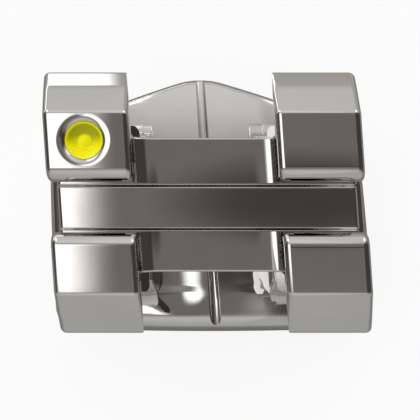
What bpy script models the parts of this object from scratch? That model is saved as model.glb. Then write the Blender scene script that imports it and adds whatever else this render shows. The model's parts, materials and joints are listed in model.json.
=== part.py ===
"""Twin orthodontic bracket with four tie wings, moulded in one piece, and its colour dot.

The bracket lies on its bonding base. The bracket is described in the frame of its archwire slot:
x runs along the slot, y across it towards the arched edge of the pad, z out of the slot, with the
origin in the middle of the slot floor. The pad is described in the frame of the base, which is
turned from the slot by the torque. All sizes are in millimetres, and one empty brings them to metres.
"""

from math import ceil, cos, pi, radians, sin, sqrt, tan

import bmesh
import bpy
from mathutils import Matrix, Vector

# Archwire slot, 0.022 by 0.028 inch
SLOT_HEIGHT = 0.559
SLOT_DEPTH = 0.711
SLOT_CORNER = 0.03
SLOT_STOCK = 0.003
LEAD_IN = 0.17

# Set of the slot on the tooth
TORQUE = radians(7.0)
ANGULATION = radians(3.8)
SLOT_TO_TOOTH = 0.90

# Tie wings: across the slot, and along it from the bracket's middle
WING_RISE = 0.32
UPPER_BEND = 1.04
UPPER_TIP = 1.60
LOWER_BEND = 0.954
LOWER_TIP = 1.487
WING_SLOPE = radians(38.0)
WING_BARREL = 0.017
WING_BARREL_RADIUS = 1.1
WING_TIP_THICKNESS = 0.24
WING_TIP_RAKE = 0.05
WING_INNER = 0.807
WING_OUTER = 1.743
WING_EDGE = 0.075
WING_BEND_RADIUS = 0.085
WING_TIP_RADIUS = 0.085
SIDE_DRAFT = radians(11.5)

# Necks under the wings, across the slot at their top and at the pad, and the ledges beside the rails
UPPER_NECK = 0.93
UPPER_FOOT = 1.00
LOWER_NECK = 0.96
LOWER_FOOT = 1.22
NECK_HEIGHT = 0.12
NECK_RADIUS = 0.20
FOOT_RADIUS = 0.27
FOOT_SPREAD = 0.85
FOOT_SUNK = 0.008
UPPER_LEFT_LEDGE = 0.73
UPPER_RIGHT_LEDGE = 0.65
LOWER_LEDGE = 0.77
LEDGE_EDGE = 0.035
LEDGE_SETBACK = 0.015

# Rails that bridge the wings along the slot
UPPER_RAIL = 0.803
LOWER_RAIL = 0.746
RAIL_EDGE = 0.025
RAIL_FILLET = 0.10
RAIL_SUNK = 0.01

# Bonding pad
PAD_WIDTH = 4.73
PAD_THICKNESS = 0.42
PAD_LOWER = 1.67
PAD_APEX = 2.01
PAD_PITCH = radians(17.4)
PAD_APEX_RADIUS = 1.0
PAD_CORNER = 0.35
PAD_EDGE = 0.12
PAD_LOWER_EDGE = 0.27
PAD_EDGE_GROWTH = 3
TOOTH_RADIUS_ACROSS = 7.0
TOOTH_RADIUS_ALONG = 16.0

# Scribe line down the middle of the pad
SCRIBE_RADIUS = 0.085
SCRIBE_DEPTH = 0.05
SCRIBE_SIDES = 16

# Retention pegs on the tooth side of the pad
RIM_WIDTH = 0.20
PEG_HEIGHT = 0.12
PEG_PITCH = 0.52
PEG_TIP_RADIUS = 0.15
PEG_ROOT_RADIUS = 0.11
PEG_SIDES = 10
PEG_SUNK = 0.03

# Colour dot in the upper left wing
DOT_RADIUS = 0.205
DOT_OUTSET = 0.034
DOT_TOWARDS_SLOT = 0.015
DOT_DISH_RADIUS = 0.105
DOT_MENISCUS = 0.028
DOT_DISH = 0.022
DOT_BELOW_FACE = 0.06
RECESS_DEPTH = 0.22
RECESS_LIP = 0.08
DOT_GAP = 0.003

# Fineness of arcs, and of straight runs that follow the tooth
ARC_STEP = radians(15.0)
LEAST_ARC = 0.1
SHARP_ANGLE = radians(30.0)
EDGE_STEPS = 4
RUN_STEP = 0.40
DOME_RINGS = 5
DOT_SIDES = 48

METRES = 0.001

# Sizes that follow from those above
HALF_SLOT = SLOT_HEIGHT / 2
WING_FRONT = SLOT_DEPTH + WING_RISE
LEAN = tan(ANGULATION)
DRAFT = tan(SIDE_DRAFT)


def remove_objects():
    """Clear the scene of whatever it opened with."""
    for item in list(bpy.data.objects):
        bpy.data.objects.remove(item, do_unlink=True)


def finish(name, color, roughness, metallic):
    """A plain Principled material."""
    material = bpy.data.materials.new(name)
    material.use_nodes = True
    shader = material.node_tree.nodes["Principled BSDF"]
    shader.inputs["Base Color"].default_value = (*color, 1.0)
    shader.inputs["Roughness"].default_value = roughness
    shader.inputs["Metallic"].default_value = metallic
    material.diffuse_color = (*color, 1.0)
    return material


# Outlines

def directions(corners):
    """The directions in which an outline reaches and leaves each of its corners."""
    places = [Vector(corner[:2]) for corner in corners]
    leaving = [(after - place).normalized() for place, after in zip(places, places[1:] + places[:1])]
    return list(zip([leaving[-1]] + leaving[:-1], leaving))


def arc_steps(corners):
    """How many chords the arc at each corner has."""
    turns = [abs(before.angle_signed(after, 0.0)) for before, after in directions(corners)]
    return [max(1, ceil(turn / ARC_STEP)) for turn in turns]


def rounded(corners, inset=0.0, steps=None):
    """Points of an anticlockwise outline, each corner (a, b, radius) an arc, moved in by inset.

    Outlines with the same steps have as many points, so that they loft.
    """
    points = []
    steps = steps or arc_steps(corners)
    for corner, (before, after), chords in zip(corners, directions(corners), steps):
        inward = Vector((-before.y, before.x)) + Vector((-after.y, after.x))
        half_turn = before.angle_signed(after, 0.0) / -2
        shifted = Vector(corner[:2]) + inward * (inset / (2 * cos(half_turn) ** 2))
        radius = corner[2]
        if radius == 0:
            points.append(shifted)
            continue
        side = 1 if half_turn > 0 else -1
        arc_radius = max(radius - side * inset, radius * LEAST_ARC)
        tangent = arc_radius * tan(abs(half_turn))
        start = shifted - before * tangent
        centre = start + Vector((-before.y, before.x)) * side * arc_radius
        for chord in range(chords + 1):
            turned = Matrix.Rotation(2 * half_turn * chord / chords, 2)
            points.append(centre + turned @ (start - centre))
    return points


def edge_rounding(radius):
    """Pairs (inset, setback) from the side of a solid round its edge to its end face."""
    turns = [pi / 2 * step / EDGE_STEPS for step in range(EDGE_STEPS + 1)]
    return [(radius * (1 - cos(turn)), radius * (1 - sin(turn))) for turn in turns]


def loft(name, rings):
    """A closed solid through rings of as many points each, from one end to the other.

    An end ring of one point is a pole, and any other end ring becomes a flat face.
    """
    mesh_builder = bmesh.new()
    levels = [[mesh_builder.verts.new(point) for point in ring] for ring in rings]
    for lower, upper in zip(levels, levels[1:]):
        count = max(len(lower), len(upper))
        for index in range(count):
            following = (index + 1) % count
            if len(lower) == 1:
                corners = (lower[0], upper[following], upper[index])
            elif len(upper) == 1:
                corners = (lower[index], lower[following], upper[0])
            else:
                corners = (lower[index], lower[following], upper[following], upper[index])
            mesh_builder.faces.new(corners)
    for end in (levels[0], levels[-1]):
        if len(end) > 1:
            mesh_builder.faces.new(end)
    bmesh.ops.recalc_face_normals(mesh_builder, faces=mesh_builder.faces)
    mesh = bpy.data.meshes.new(name)
    mesh_builder.to_mesh(mesh)
    mesh_builder.free()
    mesh.shade_smooth()
    mesh.set_sharp_from_angle(angle=SHARP_ANGLE)
    piece = bpy.data.objects.new(name, mesh)
    bpy.context.scene.collection.objects.link(piece)
    return piece


def tool(piece, parent):
    """Mark a solid that only shapes another one."""
    piece.parent = parent
    piece.hide_render = True
    piece.display_type = "WIRE"
    return piece


def combine(piece, operation, other):
    """Add or take away another closed solid, also where the two meet at a shallow angle."""
    modifier = piece.modifiers.new(other.name, "BOOLEAN")
    modifier.operation = operation
    modifier.solver = "MANIFOLD"
    modifier.object = other


# Bonding pad, in the frame of the base

def pad_corners():
    """Corners of the pad, with y from the middle of the slot."""
    half = PAD_WIDTH / 2
    peak = PAD_APEX + PAD_APEX_RADIUS * (1 / cos(PAD_PITCH) - 1)
    shoulder = peak - half * tan(PAD_PITCH)
    return [
        (-half, -PAD_LOWER, PAD_CORNER),
        (half, -PAD_LOWER, PAD_CORNER),
        (half, shoulder, PAD_CORNER),
        (0.0, peak, PAD_APEX_RADIUS),
        (-half, shoulder, PAD_CORNER),
    ]


def leaned(point):
    """A point of the upright layout, moved along the slot by the angulation."""
    return Vector((point.x - point.y * LEAN, point.y))


def pad_outline(inset=0.0):
    """The pad's leaned outline moved in by inset, its straight runs split as often as the full one's."""
    full = rounded(pad_corners())
    moved = rounded(pad_corners(), inset)
    points = []
    for index, point in enumerate(moved):
        following = (index + 1) % len(moved)
        pieces = max(1, round((full[following] - full[index]).length / RUN_STEP))
        points += [leaned(point.lerp(moved[following], piece / pieces)) for piece in range(pieces)]
    return points


def tooth_drop(x, y):
    """How far the tooth falls away below its highest point under the pad."""
    across = TOOTH_RADIUS_ACROSS - sqrt(TOOTH_RADIUS_ACROSS ** 2 - x * x)
    along = TOOTH_RADIUS_ALONG - sqrt(TOOTH_RADIUS_ALONG ** 2 - y * y)
    return across + along


PAD_OUTLINE = pad_outline()
TOOTH_TOP = max(tooth_drop(point.x, point.y) for point in PAD_OUTLINE)
PAD_LEFT = min(point.x for point in PAD_OUTLINE)
PAD_RIGHT = max(point.x for point in PAD_OUTLINE)
PAD_BOTTOM = min(point.y for point in PAD_OUTLINE)
PAD_TOP = max(point.y for point in PAD_OUTLINE)
SLOT_FLOOR = TOOTH_TOP + SLOT_TO_TOOTH


def tooth(x, y):
    """Height of the tooth side of the pad over the surface that the bracket lies on."""
    return TOOTH_TOP - tooth_drop(x, y)


def lower_edge_share(y):
    """From 0 at the arched edge of the pad to 1 at its lower edge."""
    return (PAD_TOP - y) / (PAD_TOP - PAD_BOTTOM)


def on_pad(points, height, scale=1.0):
    """A ring of points at the height that a function gives, drawn in about the pad's middle."""
    ring = []
    for point in points:
        place = point * scale
        ring.append((place.x, place.y, height(place.x, place.y)))
    return ring


def edge_ring(share):
    """The pad's outline moved in by a share of the rounding of its edge, which changes along y."""
    moved = pad_outline(PAD_EDGE)
    return [
        outer.lerp(inner, share * edge_radius(outer.y) / PAD_EDGE) for outer, inner in zip(PAD_OUTLINE, moved)
    ]


def edge_radius(y):
    """Rounding of the pad's labial edge, fuller towards the lower edge."""
    share = lower_edge_share(y)
    return PAD_EDGE + (PAD_LOWER_EDGE - PAD_EDGE) * share ** PAD_EDGE_GROWTH


def dome_scales():
    """Shares of the outline at which rings follow the tooth's curve."""
    return [ring / DOME_RINGS for ring in range(1, DOME_RINGS)]


def pad_solid():
    """The pad: concave towards the tooth, an even thickness, with a rounded labial edge."""
    def face(x, y):
        return tooth(x, y) + PAD_THICKNESS

    rings = [[(0.0, 0.0, tooth(0.0, 0.0))]]
    rings += [on_pad(PAD_OUTLINE, tooth, scale) for scale in dome_scales()]
    rings.append(on_pad(PAD_OUTLINE, tooth))
    for inset, setback in edge_rounding(1.0):
        points = edge_ring(inset)
        rings.append([
            (point.x, point.y, face(point.x, point.y) - edge_radius(outer.y) * setback)
            for point, outer in zip(points, PAD_OUTLINE)
        ])
    rings += [on_pad(points, face, scale) for scale in reversed(dome_scales())]
    rings.append([(0.0, 0.0, face(0.0, 0.0))])
    return loft("bracket_body", rings)


def recess_solid():
    """The shallow field inside the rim, out of which the pegs stand."""
    outline = pad_outline(RIM_WIDTH)

    def roof(x, y):
        return tooth(x, y) + PEG_HEIGHT

    def below(x, y):
        return -PEG_HEIGHT

    rings = [on_pad(outline, below), on_pad(outline, roof)]
    rings += [on_pad(outline, roof, scale) for scale in reversed(dome_scales())]
    rings.append([(0.0, 0.0, roof(0.0, 0.0))])
    return loft("base_recess", rings)


def inside(outline, x, y):
    """Whether a place lies within an outline."""
    crossings = 0
    for index, point in enumerate(outline):
        before = outline[index - 1]
        if (before.y > y) != (point.y > y):
            reach = before.x + (point.x - before.x) * (y - before.y) / (point.y - before.y)
            crossings += reach > x
    return crossings % 2 == 1


def peg_places():
    """Places of the pegs, in rows and columns about the pad's middle."""
    clear = [leaned(point) for point in rounded(pad_corners(), RIM_WIDTH + PEG_TIP_RADIUS)]
    columns = int(PAD_WIDTH / 2 / PEG_PITCH)
    rows = int(PAD_APEX / PEG_PITCH)
    places = []
    for row in range(-rows, rows + 1):
        for column in range(-columns, columns + 1):
            place = leaned(Vector((column * PEG_PITCH, row * PEG_PITCH)))
            if inside(clear, place.x, place.y):
                places.append(place)
    return places


def peg_solid(index, place):
    """One peg, wider at its tip than at its root, so that the cement locks on it."""
    tip = tooth(place.x, place.y)
    levels = [(PEG_TIP_RADIUS, tip), (PEG_ROOT_RADIUS, tip + PEG_HEIGHT + PEG_SUNK)]
    rings = []
    for radius, height in levels:
        turns = [2 * pi * side / PEG_SIDES for side in range(PEG_SIDES)]
        rings.append([(place.x + radius * cos(turn), place.y + radius * sin(turn), height) for turn in turns])
    return loft(f"peg_{index}", rings)


# Wings, rails and ledges, in the frame of the slot

def pad_face(x, y):
    """Height of the pad's labial face in the frame of the slot."""
    along = y / cos(TORQUE)
    return tooth(x, along) + PAD_THICKNESS - SLOT_FLOOR - y * tan(TORQUE)


def root(x, y):
    """Height inside the pad's wall at which the wings, rails and ledges end."""
    return pad_face(x, y) - (PAD_THICKNESS - PEG_HEIGHT) / 2


def neck_side(x, inset, side, neck, foot):
    """Corners up the outside of one flared neck, from its root in the pad to its top.

    The fillet at its foot runs out just under the pad's face, at the same place for each inset.
    """
    end = side * (foot + FOOT_SPREAD * FOOT_RADIUS + inset)
    return [
        (end, root(x, end), 0.0),
        (end, pad_face(x, end) - FOOT_SUNK, 0.0),
        (side * foot, pad_face(x, side * foot) - FOOT_SUNK, FOOT_RADIUS),
    ]


def wing_side(x, inset, side, bend, tip, neck, foot):
    """Corners round one wing, from its root in the pad over its tip to the slot wall."""
    front_tip = WING_FRONT - (tip - bend) * tan(WING_SLOPE)
    rear_tip = front_tip - WING_TIP_THICKNESS
    return neck_side(x, inset, side, neck, foot) + [
        (side * neck, NECK_HEIGHT, NECK_RADIUS),
        (side * (tip - WING_TIP_RAKE), rear_tip, WING_TIP_RADIUS),
        (side * tip, front_tip, WING_TIP_RADIUS),
        (side * (tip + bend) / 2, (front_tip + WING_FRONT) / 2 + WING_BARREL, WING_BARREL_RADIUS),
        (side * bend, WING_FRONT, WING_BEND_RADIUS),
        (side * (HALF_SLOT - SLOT_STOCK), WING_FRONT, LEAD_IN),
        (side * (HALF_SLOT - SLOT_STOCK), SLOT_STOCK, SLOT_CORNER),
    ]


def wing_section(x, inset):
    """The section through an upper and a lower wing and the floor between them."""
    upper = wing_side(x, inset, 1, UPPER_BEND, UPPER_TIP, UPPER_NECK, UPPER_FOOT)
    lower = wing_side(x, inset, -1, LOWER_BEND, LOWER_TIP, LOWER_NECK, LOWER_FOOT)
    return upper + lower[::-1]


def ledge_section(x, inset, side, neck, foot):
    """The section of a neck up to its ledge, beside the rail."""
    outside = neck_side(x, inset, side, neck - LEDGE_SETBACK, foot - LEDGE_SETBACK)
    outside.append((side * (neck - LEDGE_SETBACK), NECK_HEIGHT, LEDGE_EDGE))
    within = side * HALF_SLOT / 2
    inside_corners = [(within, NECK_HEIGHT, 0.0), (within, root(x, within), 0.0)]
    corners = outside + inside_corners
    return corners if side > 0 else corners[::-1]


def along_slot(name, section, inner, outer, inner_edge, outer_edge, draft):
    """A solid along x between two sections, its end edges rounded and its outer end drafted."""
    side = 1 if outer > inner else -1
    ends = [(inner + side * setback, inset, 0.0) for inset, setback in reversed(edge_rounding(inner_edge))]
    ends += [(outer - side * setback, inset, side * draft) for inset, setback in edge_rounding(outer_edge)]
    first, last = ends[EDGE_STEPS], ends[EDGE_STEPS + 1]
    pieces = max(1, round(abs(last[0] - first[0]) / RUN_STEP))
    between = [Vector(first).lerp(Vector(last), piece / pieces) for piece in range(1, pieces)]
    steps = arc_steps(section(inner, 0.0))
    rings = []
    for x, inset, slope in ends[:EDGE_STEPS + 1] + between + ends[EDGE_STEPS + 1:]:
        foot_x = x + slope * (WING_FRONT + SLOT_TO_TOOTH - PAD_THICKNESS)
        outline = rounded(section(foot_x, inset), inset, steps)
        rings.append([
            (x + slope * (WING_FRONT - point.y) - point.x * LEAN, point.x, point.y) for point in outline
        ])
    return loft(name, rings)


def wings_solid(name, side):
    """One pair of wings, upper and lower, with their necks and the end of the slot floor."""
    return along_slot(name, wing_section, side * WING_INNER, side * WING_OUTER, WING_EDGE, WING_EDGE, DRAFT)


def ledge_solid(name, side_x, side_y, inner, neck, foot):
    """The part of one neck that stands in from the wing above it."""
    middle = side_x * (WING_INNER + WING_OUTER) / 2

    def section(x, inset):
        return ledge_section(x, inset, side_y, neck, foot)

    return along_slot(name, section, side_x * inner, middle, LEDGE_EDGE, LEDGE_EDGE, 0.0)


def rails_solid():
    """The block between the wings, whose front the slot divides into two rails."""
    buried = WING_INNER + WING_EDGE + 2 * RAIL_EDGE
    meeting = WING_INNER + RAIL_SUNK
    shoulder = SLOT_DEPTH + RAIL_FILLET + 2 * RAIL_EDGE
    ends = [(-LOWER_RAIL + setback, inset) for inset, setback in reversed(edge_rounding(RAIL_EDGE))]
    ends += [(UPPER_RAIL - setback, inset) for inset, setback in edge_rounding(RAIL_EDGE)]
    rings = []
    for y, inset in ends:
        profile = [
            (-buried, root(buried, y), 0.0),
            (buried, root(buried, y), 0.0),
            (buried, shoulder, 0.0),
            (meeting, shoulder, 0.0),
            (meeting, SLOT_DEPTH, RAIL_FILLET),
            (-meeting, SLOT_DEPTH, RAIL_FILLET),
            (-meeting, shoulder, 0.0),
            (-buried, shoulder, 0.0),
        ]
        rings.append([(point.x - y * LEAN, y, point.y) for point in rounded(profile, inset)])
    return loft("rails", rings)


def slot_solid():
    """The finishing cut along the slot."""
    reach = PAD_WIDTH
    profile = [
        (-HALF_SLOT, 0.0, SLOT_CORNER),
        (HALF_SLOT, 0.0, SLOT_CORNER),
        (HALF_SLOT, WING_FRONT + LEAD_IN, 0.0),
        (-HALF_SLOT, WING_FRONT + LEAD_IN, 0.0),
    ]
    outline = rounded(profile)
    return loft("slot", [[(x, point.x, point.y) for point in outline] for x in (-reach, reach)])


def scribe_solid():
    """The round groove down the pad, through its arched edge and out over the rounding of the lower one."""
    bottom = -PAD_LOWER
    top = PAD_APEX + PAD_EDGE
    steps = ceil((top - bottom) / RUN_STEP)
    turns = [2 * pi * side / SCRIBE_SIDES for side in range(SCRIBE_SIDES)]
    rings = []
    for step in range(steps + 1):
        y = bottom + (top - bottom) * step / steps
        axis = pad_face(0.0, y) + SCRIBE_RADIUS - SCRIBE_DEPTH
        rings.append([
            (SCRIBE_RADIUS * sin(turn) - y * LEAN, y, axis - SCRIBE_RADIUS * cos(turn)) for turn in turns
        ])
    return loft("scribe", rings)


# Colour dot and its recess

def dot_place():
    """Middle of the dot on the front of the upper left wing."""
    across = (HALF_SLOT + LEAD_IN + UPPER_BEND) / 2 - DOT_TOWARDS_SLOT
    middle = -(WING_INNER + WING_OUTER) / 2 - DOT_OUTSET
    return Vector((middle - across * LEAN, across, WING_FRONT))


def turned(name, profile):
    """A solid of revolution about z, from (radius, height) pairs, placed on the wing's front."""
    place = dot_place()
    rings = []
    for radius, height in profile:
        if radius == 0:
            rings.append([(place.x, place.y, place.z + height)])
            continue
        turns = [2 * pi * side / DOT_SIDES for side in range(DOT_SIDES)]
        rings.append([
            (place.x + radius * cos(turn), place.y + radius * sin(turn), place.z + height) for turn in turns
        ])
    return loft(name, rings)


def dot_recess_solid():
    """The round pocket for the dot, with a rolled lip."""
    profile = [(0.0, -RECESS_DEPTH), (DOT_RADIUS, -RECESS_DEPTH)]
    profile += [
        (DOT_RADIUS + inset, -setback) for inset, setback in edge_rounding(RECESS_LIP)
    ]
    above = DOT_RADIUS + RECESS_LIP
    profile += [(above, RECESS_LIP), (0.0, RECESS_LIP)]
    return turned("dot_recess", profile)


def dot_solid():
    """The cured drop of epoxy: it climbs the wall of its pocket and is dished in the middle."""
    wall = DOT_RADIUS - DOT_GAP
    floor = -RECESS_DEPTH + DOT_GAP
    profile = [(0.0, floor), (wall, floor), (wall, -DOT_BELOW_FACE)]
    steps = 2 * EDGE_STEPS
    for step in range(1, steps + 1):
        share = step / steps
        radius = wall + (DOT_DISH_RADIUS - wall) * share
        profile.append((radius, -DOT_BELOW_FACE - DOT_MENISCUS * sin(share * pi / 2)))
    for step in range(1, EDGE_STEPS + 1):
        share = step / EDGE_STEPS
        radius = DOT_DISH_RADIUS * (1 - share)
        fall = DOT_MENISCUS + DOT_DISH * (1 - cos(share * pi)) / 2
        profile.append((radius, -DOT_BELOW_FACE - fall))
    return turned("identification_dot", profile)


# Assembly

def build():
    """Make the bracket and its dot."""
    remove_objects()
    middle = Vector(((PAD_LEFT + PAD_RIGHT) / 2, (PAD_BOTTOM + PAD_TOP) / 2, 0.0))

    base_frame = bpy.data.objects.new("base_frame", None)
    base_frame.scale = (METRES, METRES, METRES)
    base_frame.location = -METRES * middle
    slot_frame = bpy.data.objects.new("slot_frame", None)
    slot_frame.parent = base_frame
    slot_frame.location = (0.0, 0.0, SLOT_FLOOR)
    slot_frame.rotation_euler = (TORQUE, 0.0, 0.0)
    for empty in (base_frame, slot_frame):
        bpy.context.scene.collection.objects.link(empty)

    body = pad_solid()
    body.parent = base_frame
    body.data.materials.append(finish("polished_steel", (0.62, 0.61, 0.59), 0.2, 1.0))

    left_wings = tool(wings_solid("left_wings", -1), slot_frame)
    combine(left_wings, "DIFFERENCE", tool(dot_recess_solid(), slot_frame))
    right_wings = tool(wings_solid("right_wings", 1), slot_frame)

    combine(body, "DIFFERENCE", tool(scribe_solid(), slot_frame))
    combine(body, "UNION", left_wings)
    combine(body, "UNION", right_wings)
    combine(body, "UNION", tool(rails_solid(), slot_frame))
    for word, side, inner in (("left", -1, UPPER_LEFT_LEDGE), ("right", 1, UPPER_RIGHT_LEDGE)):
        upper = ledge_solid(f"upper_{word}_ledge", side, 1, inner, UPPER_NECK, UPPER_FOOT)
        lower = ledge_solid(f"lower_{word}_ledge", side, -1, LOWER_LEDGE, LOWER_NECK, LOWER_FOOT)
        combine(body, "UNION", tool(upper, slot_frame))
        combine(body, "UNION", tool(lower, slot_frame))
    combine(body, "DIFFERENCE", tool(slot_solid(), slot_frame))
    combine(body, "DIFFERENCE", tool(recess_solid(), base_frame))
    for index, place in enumerate(peg_places()):
        combine(body, "UNION", tool(peg_solid(index, place), base_frame))

    dot = dot_solid()
    dot.parent = slot_frame
    dot.data.materials.append(finish("yellow_epoxy", (0.80, 0.78, 0.0), 0.3, 0.0))


build()
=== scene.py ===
"""Looks of the twin orthodontic bracket: polished steel body, yellow epoxy dot, white studio."""

import json
from math import ceil, cos, pi, radians, sin, sqrt, tan

import bmesh
import bpy
from mathutils import Matrix, Vector


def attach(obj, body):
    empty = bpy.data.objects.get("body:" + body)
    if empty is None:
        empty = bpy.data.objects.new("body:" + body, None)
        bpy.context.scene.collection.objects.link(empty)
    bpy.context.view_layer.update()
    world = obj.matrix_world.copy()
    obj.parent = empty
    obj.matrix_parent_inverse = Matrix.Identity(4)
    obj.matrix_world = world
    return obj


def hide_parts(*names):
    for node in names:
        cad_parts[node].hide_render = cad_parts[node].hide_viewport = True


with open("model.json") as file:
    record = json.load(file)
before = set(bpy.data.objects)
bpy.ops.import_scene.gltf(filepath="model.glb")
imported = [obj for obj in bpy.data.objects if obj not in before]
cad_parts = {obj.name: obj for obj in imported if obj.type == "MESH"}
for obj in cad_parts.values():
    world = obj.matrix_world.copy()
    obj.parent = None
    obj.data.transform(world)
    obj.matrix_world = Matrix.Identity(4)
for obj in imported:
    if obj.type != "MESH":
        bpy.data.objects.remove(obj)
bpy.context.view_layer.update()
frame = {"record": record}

MM = 0.001

# Set of the slot on the base: its place, as the record's slot mount gives it, and its torque
TORQUE = radians(7.0)
SLOT_MOUNT = next(mount for mount in frame["record"]["mounts"] if mount["name"] == "archwire_slot")
SLOT_ORIGIN = Vector(SLOT_MOUNT["pos_m"])
SLOT_FRAME = Matrix.Translation(SLOT_ORIGIN) @ Matrix.Rotation(TORQUE, 4, "X")
SLOT_ACROSS, SLOT_UP, SLOT_OUT = (SLOT_FRAME.col[index].xyz for index in range(3))
SLOT_MM = Matrix.Translation(SLOT_ORIGIN / MM) @ Matrix.Rotation(TORQUE, 4, "X")
BASE_MM = Matrix.Translation((SLOT_ORIGIN.x / MM, SLOT_ORIGIN.y / MM, 0.0))

# Sizes of the slot and the wings in millimetres, in the frame of the slot: x along it, y across it
# and z out of it. The wings lean along the slot with y, and draft out with depth. The last cut
# along the slot takes its stock off the walls and the floor.
HALF_SLOT = 0.2795
SLOT_DEPTH = 0.711
SLOT_CORNER = 0.03
SLOT_STOCK = 0.003
MOUTH_RADIUS = 0.17
LEAN = tan(radians(3.8))
SIDE_DRAFT = tan(radians(11.5))
WING_FRONT = 1.031
WING_INNER = 0.807
WING_OUTER = 1.743
WING_EDGE = 0.075
BEND_RADIUS = 0.085
BARREL_RADIUS = 1.1
TIP_RADIUS = 0.085
TIP_THICKNESS = 0.24
TIP_RAKE = 0.05

# The slant under the inner edge of each wing's free end, and where it starts below the front
UNDERCUT = tan(radians(10.0))
UNDERCUT_BELOW = 0.16

# Necks, with feet that flare into the pad, and the ledges beside them. A foot meets the pad a
# little sunk, and its root goes on below that.
NECK_HEIGHT = 0.12
NECK_RADIUS = 0.20
FOOT_RADIUS = 0.27
FOOT_SPREAD = 0.85
FOOT_SUNK = 0.004
FOOT_PIECES = 5
ROOT_DEPTH = 0.18
LEDGE_SETBACK = 0.012
LEDGE_EDGE = 0.035

# Places across the slot on the upper and the lower wings, two with their heights. A ledge has the
# place of its inner end on the left and on the right.
UPPER = {
    "bend": 1.04, "barrel": (1.36, 0.803), "tip": (1.60, 0.600), "neck": 0.93, "foot": 1.00,
    "ledge": (0.73, 0.65),
}
LOWER = {
    "bend": 0.954, "barrel": (1.26, 0.806), "tip": (1.487, 0.615), "neck": 0.96, "foot": 1.22,
    "ledge": (0.77, 0.77),
}

# Rails, which sweep up a little before they meet the wings
UPPER_RAIL = 0.803
LOWER_RAIL = 0.746
RAIL_EDGE = 0.025
RAIL_FILLET = 0.10
LEFT_RISE, LEFT_SWEEP = 0.075, 0.52
RIGHT_RISE, RIGHT_SWEEP = 0.045, 0.80
RAIL_SWEEP_PLACE = 0.14
RAIL_SUNK = 0.01

# Sizes of the pad in millimetres, with y from the middle of the slot and z from the tooth, whose
# surface is round both ways
PAD_HALF_WIDTH = 2.365
PAD_LOWER = 1.67
PAD_PEAK = 2.058
PAD_PITCH = tan(radians(17.4))
PAD_PEAK_RADIUS = 1.0
PAD_CORNER = 0.35
PAD_THICKNESS = 0.42
PAD_TO_SLOT = 0.90
TOOTH_ACROSS = 7.0
TOOTH_ALONG = 16.0
TOOTH_TOP = SLOT_ORIGIN.z / MM - PAD_TO_SLOT
RIM_WIDTH = 0.20
SCRIBE_RADIUS = 0.085
SCRIBE_DEPTH = 0.05

# The rounding of the pad's face: its radius at the peak and along the lower edge, the power by
# which it grows between them, and how far in from the edge the face makes room for it
PAD_EDGE = 0.12
PAD_LOWER_EDGE = 0.27
PAD_EDGE_GROWTH = 3
PAD_EDGE_REACH = 0.60

# The hollow and the swell in the lower half of the pad's face: where each starts and ends across
# and its height, and where up the pad both begin and are whole
LEFT_HOLLOW = (-0.95, 0.0, -0.031)
RIGHT_SWELL = (0.20, 1.10, 0.020)
FIELD_ENDS = (-1.60, -0.95)

# Retention pegs on the tooth side
PEG_HEIGHT = 0.12
PEG_PITCH = 0.52
PEG_TIP = 0.15
PEG_ROOT = 0.11
PEG_EDGE = 0.015
PEG_SUNK = 0.03

# Sizes of the dot and its recess, with heights from the front of the upper left wing
DOT_PLACE = (-1.358, 0.73)
DOT_RADIUS = 0.2048
DOT_GAP = 0.003
DOT_TOP = -0.032
DOT_DISH = 0.085
DOT_SINK = 0.045
DOT_NUB = 0.018
RECESS_RADIUS = 0.205
RECESS_DEPTH = 0.22
LIP_WIDTH = 0.095
LIP_DROP = 0.04

# Fineness
ARC_STEP = radians(7.5)
LEAST_ARC_STEPS = 2
RIM_STEPS = 8
TURN_STEPS = 96
DOT_STEPS = 12
DOME_STEP = 0.065
PEG_SIDES = 32
SCRIBE_SIDES = 32
SMOOTH_ANGLE = radians(28)

# What counts as one place, in millimetres, and as one direction, by the cosine between the two
CLOSE = 1e-4
SAME_WAY = 0.999

# Camera, square over the slot, in millimetres
CAMERA_PLACE = (0.023, -0.032, 6.311)
CAMERA_FIELD = radians(46.75)
CAMERA_NEAR = 0.1
CAMERA_FAR = 1000.0

# The studio's surround, as the steel mirrors it. A direction is told by its shares across, up and
# out of the picture, and by its turn sideways from straight out. Each pair of shares or turns says
# where a form begins and where it is whole or, for an end, where it starts to fade and is gone.
CARD_LEVEL = 0.07
FRONT = {"out": (0.2, 0.8), "right_end": (radians(18.5), radians(24)), "level": 0.15}
ROOF = {"up": (0.31, 0.67), "level": 0.26, "more_in_front": 0.44}
GROUND = {"down": (0.10, 0.60), "level": 0.22, "more_in_front": 0.26}
IN_FRONT = (-0.30, 0.15)
LEFT_BOX = {
    "turn": (radians(9.5), radians(17)), "far_end": (radians(42), radians(56)),
    "upper_end": (0.30, 0.46), "lower_end": (0.45, 0.70), "level": 1.6,
}
LEFT_BOX_STEP = {"down": (0.14, 0.24), "far_end": (radians(52), radians(60))}
SWEEP = {"upper_end": (0.05, 0.068), "left": (0.16, 0.22), "up": (0.3, 0.5), "level": 1.6}
PANELS = {
    "sideways": (0.33, 0.42), "up": (0.58, 0.70), "upper_end": (0.93, 0.97), "out": (0.08, 0.22),
    "level": 1.1,
}

# The camera's dark lens, a soft ellipse: its middle and half its size, as a turn and a share up,
# the squares of the distance in such halves between which it fades, and how much it darkens
LENS = {"middle": (radians(11), 0.02), "half": (radians(13), 0.075), "end": (0.0, 2.2), "shade": 0.66}

# The tint of the light where it is dim and where it is bright, the levels between which it turns
# from one to the other, and how much more light falls on what isn't polished
DIM_LIGHT = (1.0, 0.91, 0.85, 1.0)
BRIGHT_LIGHT = (1.0, 0.99, 0.975, 1.0)
BRIGHT_LEVELS = (0.2, 0.6)
MATT_GAIN = 0.7
PLAIN_WHITE = (1.0, 1.0, 1.0, 1.0)

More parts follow.
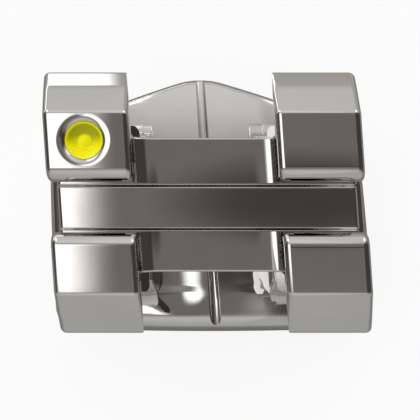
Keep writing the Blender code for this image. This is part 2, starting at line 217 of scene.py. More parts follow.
# The table: its size in millimetres, the share of its glow that the camera sees, the least that the
# steel mirrors, and how much more it mirrors of places far up or down the picture, a growth that
# starts and is whole at the two distances in millimetres. The low glow near the bracket is painted
# shade, which the steel mirrors in place of the bracket's shadow. The paper is white for the camera
# and a darker grey, also painted shade, where the steel mirrors it.
TABLE_SIZE = 80.0
TABLE_GLOW = 0.86
TABLE_MIRRORED_GLOW = 0.03
TABLE_MIRRORED_GLOW_PAST_SHADE = 0.32
TABLE_PAINTED_SHADE_FADE = (2.5, 9.0)
# The paper's white, and the darker grey of painted shade that the steel mirrors in its place
PAPER = (0.92, 0.92, 0.92, 1.0)
MIRRORED_PAPER_SHADE = (0.3, 0.3, 0.3, 1.0)

# Finishes. A noise is told by its waves to the metre and its detail, and each pair of "tint" or
# "rough" says where in the noise a change begins and is whole.
CLEAN_STEEL = (0.635, 0.620, 0.600, 1.0)
SMEARED_STEEL = (0.600, 0.590, 0.575, 1.0)
SMEARS = {"noise": (1400.0, 2.0), "tint": (0.3, 0.7), "rough": (0.45, 0.75), "roughness": 0.045}
GRAIN = {"noise": (16000.0, 3.0), "rough": (0.35, 0.75), "roughness": 0.012, "relief": 0.04}
WAVES = (1900.0, 1.0)
STEEL_ROUGHNESS = 0.028
STEEL_BUMP = {"Strength": 0.10, "Distance": 0.01 * MM}
# The epoxy's yellow, and the dark olive of the painted shade in the upper half of its dish
EPOXY_YELLOW = (0.86, 0.83, 0.0, 1.0)
EPOXY_PAINTED_SHADE = (0.36, 0.36, 0.004, 1.0)
EPOXY_GLOSS = {
    "Roughness": 0.25, "Specular IOR Level": 0.1, "Coat Weight": 0.06, "Coat Roughness": 0.05,
}
CLOUDS = (9000.0, 2.0)

# The painted shade on the dot, a dark olive ring, by the square of the distance from the middle in
# radii, in the upper half
PAINTED_SHADE_RING = {"start": (0.06, 0.20), "end": (0.72, 0.98), "up": (-0.25, 0.55), "clouds": 0.3}

# Numbers of the Mix node's sockets when it mixes colours
FIRST_COLOUR, SECOND_COLOUR, MIXED_COLOUR = 6, 7, 2


class Value:
    """A shader socket on which expressions add the nodes that work them out."""

    def __init__(self, shader, socket):
        self.shader = shader
        self.socket = socket

    def math(self, operation, *values):
        """Add a Math node on values and numbers, in their order."""
        return self.shader.node("Math", {"operation": operation}, dict(enumerate(values)))

    def __add__(self, other):
        return self.math("ADD", self, other)

    def __radd__(self, other):
        return self.math("ADD", other, self)

    def __sub__(self, other):
        return self.math("SUBTRACT", self, other)

    def __rsub__(self, other):
        return self.math("SUBTRACT", other, self)

    def __mul__(self, other):
        return self.math("MULTIPLY", self, other)

    def __rmul__(self, other):
        return self.math("MULTIPLY", other, self)

    def __truediv__(self, other):
        return self.math("DIVIDE", self, other)

    def __rtruediv__(self, other):
        return self.math("DIVIDE", other, self)

    def smallest(self, other):
        return self.math("MINIMUM", self, other)

    def largest(self, other):
        return self.math("MAXIMUM", self, other)

    def size(self):
        return self.math("ABSOLUTE", self)

    def turn(self, ahead):
        """The turn sideways of a direction with this share sideways and a share ahead."""
        return self.math("ARCTAN2", self, ahead)

    def rise(self, start, end):
        """0 before start, 1 after end, and smooth between them."""
        return self.shader.node(
            "MapRange", {"interpolation_type": "SMOOTHSTEP"},
            {"Value": self, "From Min": start, "From Max": end}, "Result",
        )


class Shader:
    """A material's or the world's node tree, emptied."""

    def __init__(self, owner):
        owner.use_nodes = True
        self.tree = owner.node_tree
        self.tree.nodes.clear()

    def node(self, kind, settings, sockets, output=0):
        """Add a node: its settings first, then its sockets' values or links, by name or number."""
        made = self.tree.nodes.new("ShaderNode" + kind)
        for name, value in settings.items():
            setattr(made, name, value)
        for key, value in sockets.items():
            if isinstance(value, Value):
                self.tree.links.new(value.socket, made.inputs[key])
            else:
                made.inputs[key].default_value = value
        return Value(self, made.outputs[output]) if made.outputs else None

    def mix(self, share, first, second):
        """The first shader where the share is 0, the second where it is 1."""
        return self.node("MixShader", {}, {0: share, 1: first, 2: second})

    def blend(self, share, first, second):
        """The first colour where the share is 0, the second where it is 1."""
        colours = {0: share, FIRST_COLOUR: first, SECOND_COLOUR: second}
        return self.node("Mix", {"data_type": "RGBA"}, colours, MIXED_COLOUR)

    def noise(self, place, scale, detail):
        """Noise from 0 to 1 in the piece's own coordinates."""
        return self.node("TexNoise", {}, {"Vector": place, "Scale": scale, "Detail": detail})

    def axis(self, vector, direction):
        """The share of a vector along a direction."""
        return self.node("VectorMath", {"operation": "DOT_PRODUCT"}, {0: vector, 1: direction}, "Value")

    def coordinates(self, kind):
        """The coordinates of the piece, or the direction in which the world is seen."""
        return self.node("TexCoord", {}, {}, kind)

    def rays(self, *kinds):
        """1 for rays of the given kinds, 0 for the others."""
        share = 0.0
        for kind in kinds:
            share = share + self.node("LightPath", {}, {}, kind)
        return share.smallest(1.0)


def camera():
    """A camera square over the archwire slot."""
    data = bpy.data.cameras.new("camera")
    data.angle = CAMERA_FIELD
    data.clip_start = CAMERA_NEAR * MM
    data.clip_end = CAMERA_FAR * MM
    made = bpy.data.objects.new("camera", data)
    made.matrix_world = SLOT_FRAME @ Matrix.Translation(Vector(CAMERA_PLACE) * MM)
    bpy.context.scene.collection.objects.link(made)
    bpy.context.scene.camera = made


def surround(shader):
    """How bright the studio is in each direction: white boxes, dark cards and the camera's lens."""
    view = shader.coordinates("Generated")
    across = shader.axis(view, SLOT_ACROSS)
    up = shader.axis(view, SLOT_UP)
    out = shader.axis(view, SLOT_OUT)
    height = shader.axis(view, (0.0, 0.0, 1.0))
    right = across.turn(out)
    left, down = -1 * right, -1 * up
    in_front = out.rise(*IN_FRONT)

    front = out.rise(*FRONT["out"]) * (1 - right.rise(*FRONT["right_end"]))
    card = CARD_LEVEL + front * FRONT["level"]
    beside, above = (
        (place - middle) / half for place, middle, half in zip((right, up), LENS["middle"], LENS["half"])
    )
    lens = 1 - (beside * beside + above * above).rise(*LENS["end"])
    roof = up.rise(*ROOF["up"]) * (ROOF["level"] + ROOF["more_in_front"] * in_front)
    ground = down.rise(*GROUND["down"]) * (GROUND["level"] + GROUND["more_in_front"] * in_front)

    near = left.rise(*LEFT_BOX["turn"])
    left_box = near * near * (1 - left.rise(*LEFT_BOX["far_end"]))
    left_box = left_box * (1 - up.rise(*LEFT_BOX["upper_end"]))
    left_box = left_box * (1 - down.rise(*LEFT_BOX["lower_end"]))
    step = down.rise(*LEFT_BOX_STEP["down"]) * (1 - left.rise(*LEFT_BOX_STEP["far_end"]))
    left_box = left_box * (1 - step)

    sweep = (1 - height.rise(*SWEEP["upper_end"])) * (-1 * across).rise(*SWEEP["left"])
    sweep = sweep * up.rise(*SWEEP["up"])
    panels = across.size().rise(*PANELS["sideways"]) * up.rise(*PANELS["up"])
    panels = panels * (1 - up.rise(*PANELS["upper_end"])) * out.rise(*PANELS["out"])
    level = card * (1 - LENS["shade"] * lens) + roof + ground
    return level + left_box * LEFT_BOX["level"] + sweep * SWEEP["level"] + panels * PANELS["level"]


def studio():
    """A light tent, which the camera sees as plain white and the bracket as its surround."""
    world = bpy.data.worlds.new("studio")
    bpy.context.scene.world = world
    shader = Shader(world)
    level = surround(shader)
    warmth = shader.blend(level.rise(*BRIGHT_LEVELS), DIM_LIGHT, BRIGHT_LIGHT)
    strength = level * (1 + MATT_GAIN * shader.rays("Is Diffuse Ray"))
    lights = shader.node("Background", {}, {"Color": warmth, "Strength": strength})
    plain = shader.node("Background", {}, {"Color": PLAIN_WHITE, "Strength": 1.0})
    seen = shader.rays("Is Camera Ray", "Is Transmission Ray")
    shader.node("OutputWorld", {}, {"Surface": shader.mix(seen, lights, plain)})


def table():
    """White paper that glows for the camera, so that only a faint shadow of the bracket shows."""
    material = bpy.data.materials.new("table_white")
    shader = Shader(material)
    # Painted shade: the steel sees the paper darker, with less glow near the bracket
    mirrored = shader.rays("Is Glossy Ray")
    away = shader.axis(shader.coordinates("Object"), (0.0, 1.0, 0.0)).size()
    more = away.rise(*(reach * MM for reach in TABLE_PAINTED_SHADE_FADE))
    mirrored_glow_and_shade = mirrored * (TABLE_MIRRORED_GLOW + TABLE_MIRRORED_GLOW_PAST_SHADE * more)
    seen_glow = shader.rays("Is Camera Ray", "Is Transmission Ray") * TABLE_GLOW
    paper_or_mirrored_shade = shader.blend(mirrored, PAPER, MIRRORED_PAPER_SHADE)
    paper = shader.node("BsdfDiffuse", {}, {"Color": paper_or_mirrored_shade})
    glow = shader.node("Emission", {}, {"Color": PLAIN_WHITE, "Strength": 1.0})
    surface = shader.mix(seen_glow.largest(mirrored_glow_and_shade), paper, glow)
    shader.node("OutputMaterial", {}, {"Surface": surface})
    return material


def floor(material):
    """The table under the bracket."""
    bpy.ops.object.select_all(action="DESELECT")
    bpy.ops.mesh.primitive_plane_add(size=TABLE_SIZE * MM, location=(0.0, 0.0, 0.0))
    made = bpy.context.object
    made.name = "table"
    made.data.materials.append(material)


def steel():
    """Polished stainless steel with faint smears, fine grain and very slight waves."""
    material = bpy.data.materials.new("polished_steel")
    shader = Shader(material)
    place = shader.coordinates("Object")
    smears = shader.noise(place, *SMEARS["noise"])
    grain = shader.noise(place, *GRAIN["noise"])
    waves = shader.noise(place, *WAVES)
    rough = STEEL_ROUGHNESS + smears.rise(*SMEARS["rough"]) * SMEARS["roughness"]
    rough = rough + grain.rise(*GRAIN["rough"]) * GRAIN["roughness"]
    tint = shader.blend(smears.rise(*SMEARS["tint"]), CLEAN_STEEL, SMEARED_STEEL)
    bump = shader.node("Bump", {}, {**STEEL_BUMP, "Height": waves + grain * GRAIN["relief"]})
    surface = shader.node(
        "BsdfPrincipled", {}, {"Base Color": tint, "Metallic": 1.0, "Roughness": rough, "Normal": bump},
    )
    shader.node("OutputMaterial", {}, {"Surface": surface})
    return material


def epoxy():
    """Yellow epoxy under a thin gloss, with painted shade in a dark olive ring over its upper half."""
    material = bpy.data.materials.new("yellow_epoxy")
    shader = Shader(material)
    place = shader.coordinates("Object")
    middle = SLOT_FRAME @ (Vector((*DOT_PLACE, WING_FRONT)) * MM)
    across, up = (
        (shader.axis(place, way) - middle.dot(way)) / (DOT_RADIUS * MM)
        for way in (SLOT_ACROSS, SLOT_UP)
    )
    reach = across * across + up * up
    # Painted shade: a dark olive ring in the upper half of the dish, its edge broken by noise
    ring = reach.rise(*PAINTED_SHADE_RING["start"]) * (1 - reach.rise(*PAINTED_SHADE_RING["end"]))
    upper = (up + shader.noise(place, *CLOUDS) * PAINTED_SHADE_RING["clouds"]).rise(*PAINTED_SHADE_RING["up"])
    colour = shader.blend(ring * upper, EPOXY_YELLOW, EPOXY_PAINTED_SHADE)
    surface = shader.node("BsdfPrincipled", {}, {"Base Color": colour, **EPOXY_GLOSS})
    shader.node("OutputMaterial", {}, {"Surface": surface})
    return material


def only(piece):
    """Select one object alone."""
    bpy.ops.object.select_all(action="DESELECT")
    piece.select_set(True)
    bpy.context.view_layer.objects.active = piece


def one_point(name, place):
    """Begin a piece as a single vertex, in edit mode."""
    bpy.ops.object.select_all(action="DESELECT")
    bpy.ops.mesh.primitive_plane_add(size=1.0, location=(0.0, 0.0, 0.0))
    bpy.context.object.name = name
    bpy.ops.object.mode_set(mode="EDIT")
    bpy.ops.mesh.select_mode(type="VERT")
    bpy.ops.mesh.select_all(action="SELECT")
    bpy.ops.mesh.merge(type="CENTER")
    bpy.ops.transform.translate(value=place)


def draw(places):
    """Pull the selected vertex from place to place."""
    for before, after in zip(places, places[1:]):
        bpy.ops.mesh.extrude_vertices_move(TRANSFORM_OT_translate={"value": after - before})


def pick_edges(test):
    """Select the edges for which the test holds."""
    bpy.ops.mesh.select_mode(type="EDGE")
    bpy.ops.mesh.select_all(action="DESELECT")
    mesh = bmesh.from_edit_mesh(bpy.context.object.data)
    for edge in mesh.edges:
        edge.select_set(test(edge))
    bmesh.update_edit_mesh(bpy.context.object.data)


def round_edges(test, width, segments):
    """Bevel the edges for which the test holds."""
    pick_edges(test)
    bpy.ops.mesh.bevel(
        offset=width, offset_type="OFFSET", segments=segments, affect="EDGES", clamp_overlap=False,
    )


def close_outline():
    """Fill the drawn outline and leave its face selected."""
    bpy.ops.mesh.select_all(action="SELECT")
    bpy.ops.mesh.edge_face_add()


def turn_out():
    """Point all faces out."""
    bpy.ops.mesh.select_mode(type="FACE")
    bpy.ops.mesh.select_all(action="SELECT")
    bpy.ops.mesh.normals_make_consistent(inside=False)


def finish_edit():
    """Leave edit mode with the faces pointing out."""
    turn_out()
    bpy.ops.object.mode_set(mode="OBJECT")
    return bpy.context.object


def bar(name, corners, plane, pull):
    """A bar of one section, its lengthwise edges rounded, left in edit mode.

    The corners are (across, height, radius), the plane turns them into places, and the pull is
    the way from one end of the bar to the other.
    """
    places = [plane(across, height) for across, height, radius in corners]
    one_point(name, places[0])
    draw(places)
    close_outline()
    bpy.ops.mesh.extrude_region_move(TRANSFORM_OT_translate={"value": pull})
    flat = [Vector((across, height)) for across, height, radius in corners]
    for index, corner in enumerate(corners):
        radius = corner[2]
        if radius == 0:
            continue
        before = flat[index] - flat[index - 1]
        after = flat[(index + 1) % len(flat)] - flat[index]
        turn = abs(before.angle_signed(after))
        near, far = places[index], places[index] + pull
        round_edges(
            lambda edge: joins(edge, near, far), radius * tan(turn / 2),
            max(LEAST_ARC_STEPS, ceil(turn / ARC_STEP)),
        )


def joins(edge, near, far):
    """Whether an edge runs between two places."""
    ends = [vertex.co for vertex in edge.verts]
    return any(
        (a - near).length < CLOSE and (b - far).length < CLOSE for a, b in (ends, ends[::-1])
    )


def cut_end(place, direction):
    """Cut the bar off square to a direction and fill the cut."""
    bpy.ops.mesh.select_all(action="SELECT")
    bpy.ops.mesh.bisect(plane_co=place, plane_no=direction, use_fill=True, clear_outer=True)


def cut_through(place, direction):
    """Cut through the piece in edit mode and keep both sides."""
    bpy.ops.mesh.select_all(action="SELECT")
    bpy.ops.mesh.bisect(plane_co=place, plane_no=direction)


def round_rim(direction, radius):
    """Round the edge of the end face that looks in a direction."""
    way = Vector(direction).normalized()

    def on_rim(edge):
        ends = [face for face in edge.link_faces if face.normal.dot(way) > SAME_WAY]
        return len(ends) == 1

    round_edges(on_rim, radius, RIM_STEPS)


def combine(piece, operation, other):
    """Add another piece to a piece, or cut it away."""
    modifier = piece.modifiers.new(other.name, "BOOLEAN")
    modifier.operation = operation
    modifier.solver = "MANIFOLD"
    modifier.object = other
    only(piece)
    bpy.ops.object.modifier_apply(modifier=modifier.name)
    bpy.data.objects.remove(other)


def tooth_drop(x, y):
    """How far the tooth falls away from its highest point, at a place on the base."""
    return drop_across(x) + TOOTH_ALONG - sqrt(TOOTH_ALONG ** 2 - y * y)


def drop_across(x):
    """How far the tooth falls away along the slot."""
    return TOOTH_ACROSS - sqrt(TOOTH_ACROSS ** 2 - x * x)


def pad_height(x, y):
    """Height of the pad's face in the frame of the slot."""
    return PAD_THICKNESS - PAD_TO_SLOT - tooth_drop(x, y) - y * tan(TORQUE)


def share_between(value, start, end):
    """How far a value has come from a start to an end, from 0 to 1."""
    return min(1.0, max(0.0, (value - start) / (end - start)))


def lower_foot(piece):
    """Let the outside of a neck follow the fall of the tooth along the slot."""
    for vertex in piece.data.vertices:
        if abs(vertex.co.y) < HALF_SLOT:
            continue
        share = share_between(vertex.co.z, NECK_HEIGHT, pad_height(0.0, vertex.co.y))
        vertex.co.z -= drop_across(vertex.co.x) * share


def neck_corners(side, wing, setback=0.0):
    """Corners up the outside of a flared neck, from its root in the pad."""
    foot = side * (wing["foot"] - setback)
    end = foot + side * FOOT_SPREAD * FOOT_RADIUS
    return [
        (end, pad_height(0.0, end) - FOOT_SUNK - ROOT_DEPTH, 0.0),
        (end, pad_height(0.0, end) - FOOT_SUNK, 0.0),
        (foot, pad_height(0.0, foot) - FOOT_SUNK, FOOT_RADIUS),
    ]


def slice_across(first, last):
    """Cut a bar along the slot into even pieces, so that its foot can follow the pad."""
    for step in range(1, FOOT_PIECES):
        place = first + (last - first) * step / FOOT_PIECES
        cut_through((place, 0.0, 0.0), (1.0, LEAN, 0.0))


def in_section(across, height):
    """A place in the section square to the slot, in the middle of the bracket."""
    return Vector((0.0, across, height))


def wing_corners(side, wing):
    """Corners round one wing, from its root in the pad over its tip to the slot floor."""
    tip, tip_height = wing["tip"]
    barrel, barrel_height = wing["barrel"]
    mouth = side * (HALF_SLOT - SLOT_STOCK)
    return neck_corners(side, wing) + [
        (side * wing["neck"], NECK_HEIGHT, NECK_RADIUS),
        (side * (tip - TIP_RAKE), tip_height - TIP_THICKNESS, TIP_RADIUS),
        (side * tip, tip_height, TIP_RADIUS),
        (side * barrel, barrel_height, BARREL_RADIUS),
        (side * wing["bend"], WING_FRONT, BEND_RADIUS),
        (mouth, WING_FRONT, MOUTH_RADIUS),
        (mouth, SLOT_STOCK, SLOT_CORNER),
    ]


def undercut(side_x, side_y, wing, rail):
    """The wedge cut away from the inner side of a wing's free end, under its front."""
    top = WING_FRONT - UNDERCUT_BELOW
    foot = NECK_HEIGHT + LEDGE_EDGE
    clear = WING_INNER - 2 * WING_EDGE
    reach = 2 * wing["tip"][0]
    corners = [
        (clear, foot, 0.0),
        (WING_INNER + (top - foot) * UNDERCUT, foot, 0.0),
        (WING_INNER, top, 0.0),
        (clear, top, 0.0),
    ]
    start = side_y * (rail + LEDGE_SETBACK)
    bar(
        "undercut", corners,
        lambda across, height: Vector((side_x * across - start * LEAN, start, height)),
        Vector((-side_y * reach * LEAN, side_y * reach, 0.0)),
    )
    return finish_edit()


def wings(side):
    """One pair of tie wings, upper and lower, with their necks and the end of the slot floor."""
    corners = wing_corners(1, UPPER) + wing_corners(-1, LOWER)[::-1]
    reach = 2.0 * WING_OUTER
    bar("wings", corners, in_section, Vector((side * reach, 0.0, 0.0)))
    inner = (-side, -side * LEAN, 0.0)
    outer = (side, side * LEAN, SIDE_DRAFT)
    cut_end((side * WING_INNER, 0.0, 0.0), inner)
    cut_end((side * WING_OUTER, 0.0, WING_FRONT), outer)
    turn_out()
    round_rim(inner, WING_EDGE)
    round_rim(outer, WING_EDGE)
    slice_across(side * (WING_INNER + WING_EDGE), side * (WING_OUTER - WING_EDGE))
    made = finish_edit()
    lower_foot(made)
    return made


def ledge(side_x, side_y, wing):
    """The part of a neck that stands in from the wing above it."""
    within = side_y * HALF_SLOT / 2
    corners = neck_corners(side_y, wing, LEDGE_SETBACK) + [
        (side_y * (wing["neck"] - LEDGE_SETBACK), NECK_HEIGHT, LEDGE_EDGE),
        (within, NECK_HEIGHT, 0.0),
        (within, pad_height(0.0, within) - FOOT_SUNK - ROOT_DEPTH, 0.0),
    ]
    middle = (WING_INNER + WING_OUTER) / 2
    bar("ledge", corners, in_section, Vector((side_x * middle, 0.0, 0.0)))
    inner = (-side_x, -side_x * LEAN, 0.0)
    cut_end((side_x * wing["ledge"][side_x > 0], 0.0, 0.0), inner)
    turn_out()
    round_rim(inner, LEDGE_EDGE)
    made = finish_edit()
    lower_foot(made)
    return made


def rails():
    """The block between the wings, from which the slot leaves two rails."""
    buried = WING_INNER + WING_EDGE + 2 * RAIL_EDGE
    meeting = WING_INNER + RAIL_SUNK
    shoulder = SLOT_DEPTH + LEFT_RISE + RAIL_FILLET + 2 * RAIL_EDGE
    sweep = WING_INNER - RAIL_SWEEP_PLACE
    foot = pad_height(0.0, 0.0) - ROOT_DEPTH
    corners = [
        (-buried, foot, 0.0),
        (buried, foot, 0.0),
        (buried, shoulder, 0.0),
        (meeting, shoulder, 0.0),
        (meeting, SLOT_DEPTH + RIGHT_RISE, RAIL_FILLET),
        (sweep, SLOT_DEPTH, RIGHT_SWEEP),
        (-sweep, SLOT_DEPTH, LEFT_SWEEP),
        (-meeting, SLOT_DEPTH + LEFT_RISE, RAIL_FILLET),
        (-meeting, shoulder, 0.0),
        (-buried, shoulder, 0.0),
    ]
    length = LOWER_RAIL + UPPER_RAIL
    bar(
        "rails", corners,
        lambda across, height: Vector((across + LOWER_RAIL * LEAN, -LOWER_RAIL, height)),
        Vector((-length * LEAN, length, 0.0)),
    )
    turn_out()
    round_rim((0.0, 1.0, 0.0), RAIL_EDGE)
    round_rim((0.0, -1.0, 0.0), RAIL_EDGE)
    made = finish_edit()
    for vertex in made.data.vertices:
        if vertex.co.z < foot + CLOSE:
            vertex.co.z = pad_height(0.0, vertex.co.y) - ROOT_DEPTH
    return made


def slot_cutter():
    """The finishing cut along the archwire slot."""
    above = WING_FRONT + MOUTH_RADIUS
    corners = [
        (-HALF_SLOT, 0.0, SLOT_CORNER),
        (HALF_SLOT, 0.0, SLOT_CORNER),
        (HALF_SLOT, above, 0.0),
        (-HALF_SLOT, above, 0.0),
    ]
    start = Vector((-PAD_HALF_WIDTH, 0.0, 0.0))
    bar("slot", corners, lambda across, height: start + in_section(across, height), -2 * start)
    return finish_edit()


def turned(name, profile):
    """A piece turned at the dot's place from (radius, height) points, the first and last on its axis."""
    places = [Vector((radius, 0.0, height)) for radius, height in profile]
    one_point(name, places[0])
    draw(places)
    bpy.ops.mesh.select_all(action="SELECT")
    bpy.ops.mesh.spin(steps=TURN_STEPS, angle=2 * pi, center=(0.0, 0.0, 0.0), axis=(0.0, 0.0, 1.0))
    bpy.ops.mesh.select_all(action="SELECT")
    bpy.ops.mesh.remove_doubles(threshold=CLOSE)
    made = finish_edit()
    made.data.transform(Matrix.Translation((*DOT_PLACE, WING_FRONT)))
    return made


def quarter_turn(steps):
    """Places on a quarter circle of radius 1: how far along it has come, and how far out."""
    turns = [pi / 2 * step / steps for step in range(steps + 1)]
    return [(sin(turn), 1 - cos(turn)) for turn in turns]


def recess_cutter():
    """The round pocket for the dot, with a rolled lip."""
    lip = [
        (RECESS_RADIUS + LIP_WIDTH * out, LIP_DROP * (along - 1))
        for along, out in quarter_turn(2 * RIM_STEPS)
    ]
    profile = [(0.0, -RECESS_DEPTH), (RECESS_RADIUS, -RECESS_DEPTH)] + lip
    profile += [(RECESS_RADIUS + LIP_WIDTH, LIP_WIDTH), (0.0, LIP_WIDTH)]
    return turned("recess", profile)


def pad_corners():
    """Corners of the pad, with y from the middle of the slot."""
    shoulder = PAD_PEAK - PAD_HALF_WIDTH * PAD_PITCH
    return [
        (-PAD_HALF_WIDTH, -PAD_LOWER, PAD_CORNER),
        (PAD_HALF_WIDTH, -PAD_LOWER, PAD_CORNER),
        (PAD_HALF_WIDTH, shoulder, PAD_CORNER),
        (0.0, PAD_PEAK, PAD_PEAK_RADIUS),
        (-PAD_HALF_WIDTH, shoulder, PAD_CORNER),
    ]


def pad_sides():
    """For each corner of the pad: its place, its radius and the outward ways of its two sides."""
    places = [Vector(corner[:2]) for corner in pad_corners()]
    runs = [(after - place).normalized() for place, after in zip(places, places[1:] + places[:1])]
    ways = [Vector((run.y, -run.x)) for run in runs]
    radii = [corner[2] for corner in pad_corners()]
    return list(zip(places, radii, ways[-1:] + ways[:-1], ways))


def from_edge(place):
    """How far a place on the upright pad is from the pad's edge, and the way to the edge."""
    nearest = []
    for corner, radius, before, after in pad_sides():
        centre = corner - (before + after) * radius / (1 + before.dot(after))
        spoke = place - centre
        if before.cross(spoke) > 0 and spoke.cross(after) > 0:
            return radius - spoke.length, spoke.normalized()
        nearest.append(((corner - place).dot(after), after))
    return min(nearest, key=lambda found: found[0])


def field(upright):
    """How far the pad's face is hollow left of the scribe line, or swells right of it."""
    share = share_between(upright.y, *FIELD_ENDS)
    height = 0.0
    for start, end, most in (LEFT_HOLLOW, RIGHT_SWELL):
        if start < upright.x < end:
            height += most * sin(pi * (upright.x - start) / (end - start)) ** 2
    return height * (3 - 2 * share) * share ** 2


def swell_edge(piece):
    """Let the rounding of the pad's face grow from the arched edge to the lower one.

    The hollow and the swell of the face come in as well.
    """
    for vertex in piece.data.vertices:
        upright = Vector((vertex.co.x + vertex.co.y * LEAN, vertex.co.y))
        depth, way = from_edge(upright)
        if vertex.co.z > PAD_THICKNESS - CLOSE and upright.y < 0:
            vertex.co.z += field(upright)
        share = (PAD_PEAK - upright.y) / (PAD_PEAK + PAD_LOWER)
        radius = PAD_EDGE + (PAD_LOWER_EDGE - PAD_EDGE) * share ** PAD_EDGE_GROWTH
        if depth >= PAD_EDGE_REACH or vertex.co.z < PAD_THICKNESS - PAD_EDGE - CLOSE:
            continue
        if depth > PAD_EDGE:
            stretch = (PAD_EDGE_REACH - radius) / (PAD_EDGE_REACH - PAD_EDGE)
            moved = radius + (depth - PAD_EDGE) * stretch
        else:
            moved = depth * radius / PAD_EDGE
        upright -= way * (moved - depth)
        height = PAD_THICKNESS - (PAD_THICKNESS - vertex.co.z) * radius / PAD_EDGE
        vertex.co = (upright.x - upright.y * LEAN, upright.y, height)


def plate(name, inset, low, high):
    """A plate with the pad's outline moved in by a length, left in edit mode."""
    corners = []
    for place, radius, before, after in pad_sides():
        moved = place - (before + after) * inset / (1 + before.dot(after))
        corners.append((moved.x - moved.y * LEAN, moved.y, radius - inset))
    bar(name, corners, lambda x, y: Vector((x, y, low)), Vector((0.0, 0.0, high - low)))


def dome(shape=None):
    """Cut the plate that is in edit mode into small fields, shape it, and let it follow the tooth."""
    bpy.ops.mesh.select_mode(type="FACE")
    across = ceil(PAD_HALF_WIDTH / DOME_STEP) + 1
    along = ceil(PAD_PEAK / DOME_STEP) + 1
    for step in range(-across, across + 1):
        cut_through((step * DOME_STEP, 0.0, 0.0), (1.0, 0.0, 0.0))
    for step in range(-along, along + 1):
        cut_through((0.0, step * DOME_STEP, 0.0), (0.0, 1.0, 0.0))
    made = finish_edit()
    if shape:
        shape(made)
    for vertex in made.data.vertices:
        vertex.co.z += TOOTH_TOP - tooth_drop(vertex.co.x, vertex.co.y)
    return made


def pegs():
    """The retention pegs, wider at the tip than at the root, in rows on the tooth side."""
    bpy.ops.object.select_all(action="DESELECT")
    length = PEG_HEIGHT + PEG_SUNK
    bpy.ops.mesh.primitive_cone_add(
        vertices=PEG_SIDES, radius1=PEG_TIP, radius2=PEG_ROOT, depth=length,
        location=(0.0, 0.0, length / 2),
    )
    bpy.ops.object.transform_apply(location=True, rotation=True, scale=True)
    bpy.ops.object.mode_set(mode="EDIT")
    turn_out()
    round_rim((0.0, 0.0, -1.0), PEG_EDGE)
    pattern = finish_edit()
    columns = int(PAD_HALF_WIDTH / PEG_PITCH)
    rows = int(PAD_PEAK / PEG_PITCH)
    copies = []
    for row in range(-rows, rows + 1):
        for column in range(-columns, columns + 1):
            place = Vector((column, row)) * PEG_PITCH
            if from_edge(place)[0] < RIM_WIDTH + PEG_TIP:
                continue
            copy = pattern.copy()
            copy.data = pattern.data.copy()
            x, y = place.x - place.y * LEAN, place.y
            copy.location = (x, y, TOOTH_TOP - tooth_drop(x, y))
            bpy.context.scene.collection.objects.link(copy)
            copies.append(copy)
    bpy.data.objects.remove(pattern)
    only(copies[0])
    for copy in copies:
        copy.select_set(True)
    bpy.ops.object.join()
    bpy.ops.object.transform_apply(location=True, rotation=True, scale=True)
    return bpy.context.object


def pad():
    """The bonding pad, curved like the tooth, with rounded edges and retention pegs behind."""
    plate("body", 0.0, 0.0, PAD_THICKNESS)
    turn_out()
    round_rim((0.0, 0.0, 1.0), PAD_EDGE)
    made = dome(swell_edge)
    plate("recess", RIM_WIDTH, -PEG_HEIGHT, PEG_HEIGHT)
    combine(made, "DIFFERENCE", dome())
    combine(made, "UNION", pegs())
    return made


def scribe_cutter():
    """The round groove down the middle of the pad."""
    bpy.ops.object.select_all(action="DESELECT")
    length = PAD_LOWER + PAD_PEAK
    bpy.ops.mesh.primitive_cylinder_add(
        vertices=SCRIBE_SIDES, radius=SCRIBE_RADIUS, depth=length + PAD_EDGE,
        rotation=(pi / 2, 0.0, 0.0),
    )
    bpy.ops.object.transform_apply(location=True, rotation=True, scale=True)
    bpy.ops.object.mode_set(mode="EDIT")
    middle = (PAD_PEAK - PAD_LOWER + PAD_EDGE) / 2
    steps = ceil(length / DOME_STEP)
    for step in range(1, steps):
        cut_through((0.0, (step / steps - 0.5) * length, 0.0), (0.0, 1.0, 0.0))
    made = finish_edit()
    for vertex in made.data.vertices:
        y = vertex.co.y + middle
        vertex.co = (
            vertex.co.x - y * LEAN, y, vertex.co.z + pad_height(0.0, y) + SCRIBE_RADIUS - SCRIBE_DEPTH,
        )
    return made


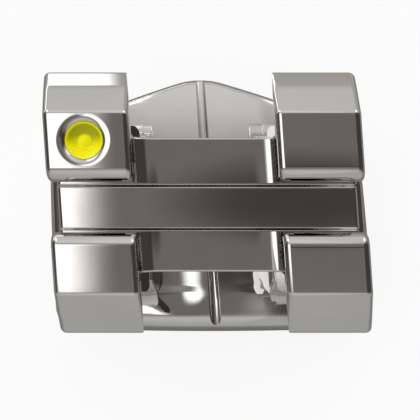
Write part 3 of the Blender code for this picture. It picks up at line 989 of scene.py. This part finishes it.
def bracket_body(material):
    """The whole moulded body: pad, necks, wings and rails, with its slot and recess cut."""
    bracket = wings(-1)
    combine(bracket, "DIFFERENCE", recess_cutter())
    combine(bracket, "UNION", wings(1))
    combine(bracket, "UNION", rails())
    for side in (-1, 1):
        combine(bracket, "DIFFERENCE", undercut(side, 1, UPPER, UPPER_RAIL))
        combine(bracket, "DIFFERENCE", undercut(side, -1, LOWER, LOWER_RAIL))
        combine(bracket, "UNION", ledge(side, 1, UPPER))
        combine(bracket, "UNION", ledge(side, -1, LOWER))
    combine(bracket, "DIFFERENCE", slot_cutter())
    bracket.data.transform(SLOT_MM)
    scribe = scribe_cutter()
    scribe.name = "scribe"
    scribe.data.transform(SLOT_MM)
    base = pad()
    base.data.transform(BASE_MM)
    combine(base, "DIFFERENCE", scribe)
    combine(base, "UNION", bracket)
    return finished(base, "body", material, "bracket_body")


def finished(piece, name, material, node):
    """Bring a piece to metres, shade it, and let it stand for its CAD node."""
    piece.name = name
    only(piece)
    bpy.ops.object.shade_smooth_by_angle(angle=SMOOTH_ANGLE)
    modifier = piece.modifiers.new("even", "WEIGHTED_NORMAL")
    modifier.keep_sharp = True
    bpy.ops.object.modifier_apply(modifier=modifier.name)
    piece.data.transform(Matrix.Scale(MM, 4))
    piece.data.materials.clear()
    piece.data.materials.append(material)
    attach(piece, "root")
    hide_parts(node)
    return piece


def dot(material):
    """The cured drop of epoxy, which climbs the wall of its pocket and is dished round a low nub."""
    foot = -RECESS_DEPTH + DOT_GAP
    profile = [(0.0, foot), (DOT_RADIUS, foot), (DOT_RADIUS, DOT_TOP)]
    shares = [step / DOT_STEPS for step in range(1, DOT_STEPS + 1)]
    profile += [
        (DOT_RADIUS + (DOT_DISH - DOT_RADIUS) * share, DOT_TOP - DOT_SINK * sin(share * pi / 2))
        for share in shares
    ]
    profile += [
        (DOT_DISH * (1 - share), DOT_TOP - DOT_SINK + DOT_NUB * (1 - cos(share * pi)) / 2)
        for share in shares
    ]
    made = turned("colour_dot", profile)
    made.data.transform(SLOT_MM)
    return finished(made, "colour_dot", material, "identification_dot")


camera()
studio()
floor(table())
bracket_body(steel())
dot(epoxy())

bpy.context.scene.view_settings.view_transform = "Standard"
